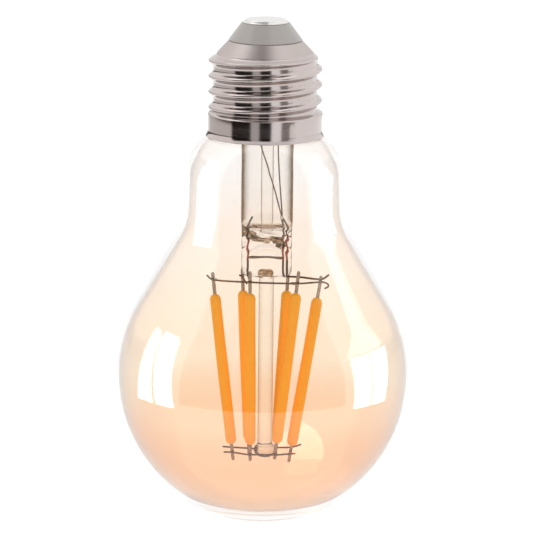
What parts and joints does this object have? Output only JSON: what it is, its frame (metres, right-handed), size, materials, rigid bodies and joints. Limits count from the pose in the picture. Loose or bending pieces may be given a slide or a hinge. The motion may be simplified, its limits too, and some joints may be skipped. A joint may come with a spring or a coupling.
{
  "type": "light bulb",
  "caption": "Pear-shaped filament lamp with a gold-tinted glass globe, a metal screw cap, a glass stem and upright LED filaments.",
  "frame": {"origin": "centre of the centre contact's flat outer face, on the lamp's axis", "axes": "+Z along the lamp's axis, out of the cap end; the globe hangs towards -Z; +X and +Y square to it, with the row of filaments spread along X"},
  "size_m": [0.07, 0.07, 0.12],
  "materials": {
    "contact_tin": "dull tinned",
    "insulator_glass": "mid-grey fused glass",
    "nickel_shell": "polished nickel plate",
    "cement": "matte",
    "tinted_glass": "clear, gold coated inside",
    "stem_glass": "clear",
    "filament_coat": "satin phosphor silicone",
    "filament_strip": "matte",
    "wire_nickel": "drawn, slightly oxidised",
    "seal_copper": "red borated copper",
    "board": "solder mask",
    "package": "moulded",
    "resistor_coat": "lacquer",
    "capacitor_case": "dipped epoxy"
  },
  "bodies": {
    "root": {"centre_contact": "contact_tin", "cap_insulator": "insulator_glass", "screw_shell": "nickel_shell", "cap_cement": "cement", "glass_envelope": "tinted_glass", "flare_tube": "stem_glass", "stem_press": "stem_glass", "exhaust_tube": "stem_glass", "centre_rod": "stem_glass", "rod_button": "stem_glass", "filament_left_outer_coat": "filament_coat", "filament_left_outer_strip": "filament_strip", "filament_left_outer_upper_terminal": "wire_nickel", "filament_left_outer_lower_terminal": "wire_nickel", "filament_left_rear_coat": "filament_coat", "filament_left_rear_strip": "filament_strip", "filament_left_rear_upper_terminal": "wire_nickel", "filament_left_rear_lower_terminal": "wire_nickel", "filament_left_front_coat": "filament_coat", "filament_left_front_strip": "filament_strip", "filament_left_front_upper_terminal": "wire_nickel", "filament_left_front_lower_terminal": "wire_nickel", "filament_right_rear_coat": "filament_coat", "filament_right_rear_strip": "filament_strip", "filament_right_rear_upper_terminal": "wire_nickel", "filament_right_rear_lower_terminal": "wire_nickel", "filament_right_front_coat": "filament_coat", "filament_right_front_strip": "filament_strip", "filament_right_front_upper_terminal": "wire_nickel", "filament_right_front_lower_terminal": "wire_nickel", "filament_right_outer_coat": "filament_coat", "filament_right_outer_strip": "filament_strip", "filament_right_outer_upper_terminal": "wire_nickel", "filament_right_outer_lower_terminal": "wire_nickel", "front_rail": "wire_nickel", "bridge_wire": "wire_nickel", "lower_wire_front": "wire_nickel", "lower_wire_rear": "wire_nickel", "inner_lead_left": "wire_nickel", "inner_lead_right": "wire_nickel", "inner_lead_spare": "wire_nickel", "outer_lead_front": "wire_nickel", "outer_lead_rear": "wire_nickel", "seal_wire_left": "seal_copper", "seal_wire_right": "seal_copper", "seal_wire_spare": "seal_copper", "link_wire": "wire_nickel", "driver_board": "board", "live_wire": "wire_nickel", "neutral_wire": "wire_nickel", "bridge_rectifier": "package", "driver_chip": "package", "sense_resistor": "package", "fusible_resistor": "resistor_coat", "input_capacitor": "capacitor_case"}
  },
  "joints": []
}
